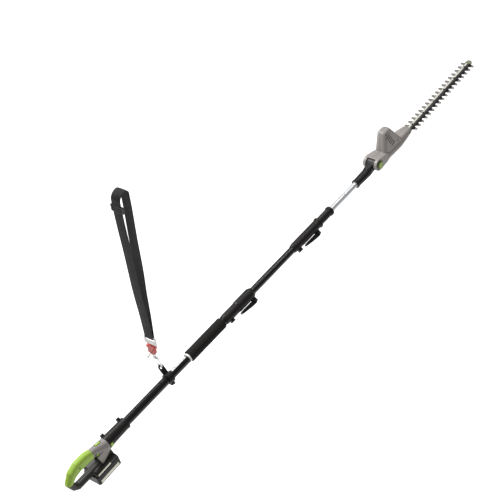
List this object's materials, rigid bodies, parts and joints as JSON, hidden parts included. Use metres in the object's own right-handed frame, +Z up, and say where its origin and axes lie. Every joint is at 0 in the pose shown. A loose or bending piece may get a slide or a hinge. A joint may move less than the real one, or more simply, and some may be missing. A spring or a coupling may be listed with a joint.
{
  "type": "pole hedge trimmer",
  "caption": "Cordless pole hedge trimmer with D handle, slide-in battery, telescopic pole, shoulder strap and tilting double-sided blade head.",
  "frame": {"origin": "on the pole's axis, in the hand opening just under the rear grip", "axes": "+X along the pole from handle to blade, +Z up as carried, -Y to the user's right-hand side of the tool"},
  "size_m": [2.6009, 0.1672, 1.0459],
  "materials": {
    "lime_plastic": "moulded, fine texture",
    "grey_plastic": "warm grey moulded plastic",
    "dark_plastic": "dark grey moulded plastic",
    "black_plastic": "black moulded plastic",
    "black_tube": "gloss black powder coat",
    "bare_tube": "satin anodised",
    "foam": "closed cell foam",
    "webbing": "woven polyester",
    "hook_steel": "nickel plated",
    "screw_steel": "black oxide",
    "blade_steel": "ground steel",
    "red_plastic": "moulded",
    "white_plastic": "moulded",
    "panel_plastic": "cream moulded",
    "button_green": "moulded",
    "guard_plastic": "moulded",
    "motor_metal": "zinc plated",
    "gear_metal": "sintered",
    "board_green": "circuit board",
    "cell_wrap": "shrink wrap",
    "decal": "printed film",
    "rubber_lead": "rubber lead"
  },
  "bodies": {
    "handle": {"frame_shell_right": "dark_plastic", "frame_shell_left": "dark_plastic", "grip_shell_right": "lime_plastic", "grip_shell_left": "lime_plastic", "cowl_right": "grey_plastic", "cowl_left": "grey_plastic", "handle_screws": "screw_steel", "pole_socket": "black_plastic", "lime_trim": "lime_plastic", "trigger_switch": "black_plastic", "terminal_block": "black_plastic", "controller_board": "board_green", "lower_tube": "black_tube", "coiled_lead": "rubber_lead", "decal_strip": "decal", "grip_band": "white_plastic", "foam_grip": "foam", "lower_clamp_body": "black_plastic", "lower_clamp_hardware": "screw_steel", "lower_bush": "black_plastic", "trigger_spring": "hook_steel", "platform_panels": "panel_plastic"},
    "trigger": {"trigger": "black_plastic"},
    "lock_off": {"lock_off_button": "lime_plastic"},
    "battery": {"battery_case": "black_plastic", "battery_panels": "panel_plastic", "battery_cells": "cell_wrap"},
    "battery_latch": {"battery_latch": "dark_plastic"},
    "collar": {"strap_collar": "black_plastic", "collar_bolt": "screw_steel", "snap_hook": "hook_steel"},
    "hook_gate": {"hook_gate": "hook_steel"},
    "strap": {"swivel_eye": "hook_steel", "release_body": "red_plastic", "strap_link": "white_plastic", "shoulder_strap": "webbing"},
    "release_pin": {"release_pin": "hook_steel"},
    "strap_slider": {"strap_slider": "black_plastic"},
    "middle_pole": {"middle_tube": "black_tube", "upper_clamp_body": "black_plastic", "upper_clamp_hardware": "screw_steel", "upper_bush": "black_plastic"},
    "lower_lever": {"lower_clamp_lever": "black_plastic"},
    "upper_lever": {"upper_clamp_lever": "black_plastic"},
    "upper_pole": {"upper_tube": "bare_tube", "neck": "black_plastic", "inner_lead": "rubber_lead"},
    "head": {"head_shell_right": "grey_plastic", "head_shell_left": "grey_plastic", "head_screws": "screw_steel", "motor_can": "motor_metal", "pivot_pin": "hook_steel", "blade_bar": "blade_steel", "blade_bolts": "screw_steel", "tip_guard": "guard_plastic"},
    "pivot_button": {"pivot_button": "button_green"},
    "rotor": {"motor_pinion": "gear_metal"},
    "drive_gear": {"drive_gear": "gear_metal"},
    "upper_blade": {"upper_blade": "blade_steel"},
    "lower_blade": {"lower_blade": "blade_steel"}
  },
  "joints": [
    {"name": "trigger_pull", "type": "hinge", "parent": "handle", "child": "trigger", "pos_m": [0.056, 0, 0.003], "axis": [0, 1, 0], "range_deg": [0, 10], "stiffness_Nm_per_rad": 0.4, "deforming": ["trigger_spring"]},
    {"name": "lock_off_press", "type": "slide", "parent": "handle", "child": "lock_off", "axis": [0, 0, -1], "range_m": [0, 0.0025], "stiffness_N_per_m": 400},
    {"name": "battery_slide", "type": "slide", "parent": "handle", "child": "battery", "axis": [0.9994, 0, 0.0349], "range_m": [0, 0.12]},
    {"name": "latch_press", "type": "slide", "parent": "battery", "child": "battery_latch", "axis": [-0.9994, 0, -0.0349], "range_m": [0, 0.002], "stiffness_N_per_m": 600},
    {"name": "collar_slide", "type": "slide", "parent": "handle", "child": "collar", "axis": [-1, 0, 0], "range_m": [0, 0.2]},
    {"name": "gate_open", "type": "hinge", "parent": "collar", "child": "hook_gate", "pos_m": [0.478, 0.0412, 0.08337], "axis": [-1, 0, 0], "range_deg": [0, 24], "stiffness_Nm_per_rad": 0.05},
    {"name": "strap_swivel", "type": "hinge", "parent": "collar", "child": "strap", "pos_m": [0.478, 0.03779, 0.1069], "axis": [0, 0, 1], "continuous": true},
    {"name": "release_pull", "type": "slide", "parent": "strap", "child": "release_pin", "axis": [-0.9925, -0.1219, 0], "range_m": [0, 0.018]},
    {"name": "slider_adjust", "type": "slide", "parent": "strap", "child": "strap_slider", "axis": [-0.0173, -0.1596, 0.987], "range_m": [-0.25, 0.01]},
    {"name": "lower_lever_flip", "type": "hinge", "parent": "handle", "child": "lower_lever", "pos_m": [0.957, -0.02491, -0.02165], "axis": [0, -0.6561, 0.7547], "range_deg": [0, 105]},
    {"name": "middle_extend", "type": "slide", "parent": "handle", "child": "middle_pole", "axis": [-1, 0, 0], "range_m": [0, 0.24]},
    {"name": "upper_lever_flip", "type": "hinge", "parent": "middle_pole", "child": "upper_lever", "pos_m": [1.37, -0.02226, -0.01935], "axis": [0, -0.6561, 0.7547], "range_deg": [0, 105]},
    {"name": "upper_extend", "type": "slide", "parent": "middle_pole", "child": "upper_pole", "axis": [-1, 0, 0], "range_m": [0, 0.16]},
    {"name": "head_tilt", "type": "hinge", "parent": "upper_pole", "child": "head", "pos_m": [1.787, 0, 0.014], "axis": [0, -1, 0], "range_deg": [-75, 40]},
    {"name": "pivot_press", "type": "slide", "parent": "head", "child": "pivot_button", "axis": [0, 1, 0], "range_m": [0, 0.003], "stiffness_N_per_m": 900},
    {"name": "gear_spin", "type": "hinge", "parent": "head", "child": "drive_gear", "pos_m": [1.9183, 0, 0.00949], "axis": [-0.0419, 0, 0.9991], "continuous": true},
    {"name": "rotor_spin", "type": "hinge", "parent": "head", "child": "rotor", "pos_m": [1.89074, 0, 0.01034], "axis": [-0.0419, 0, 0.9991], "continuous": true},
    {"name": "upper_blade_stroke", "type": "slide", "parent": "head", "child": "upper_blade", "axis": [0.9991, 0, 0.0419], "range_m": [-0.008, 0.008]},
    {"name": "lower_blade_stroke", "type": "slide", "parent": "head", "child": "lower_blade", "axis": [0.9991, 0, 0.0419], "range_m": [-0.008, 0.008]}
  ],
  "couplings": [
    {"joint": "rotor_spin", "follows": "gear_spin", "ratio": -4},
    {"joint": "lower_blade_stroke", "follows": "upper_blade_stroke", "ratio": -1}
  ]
}
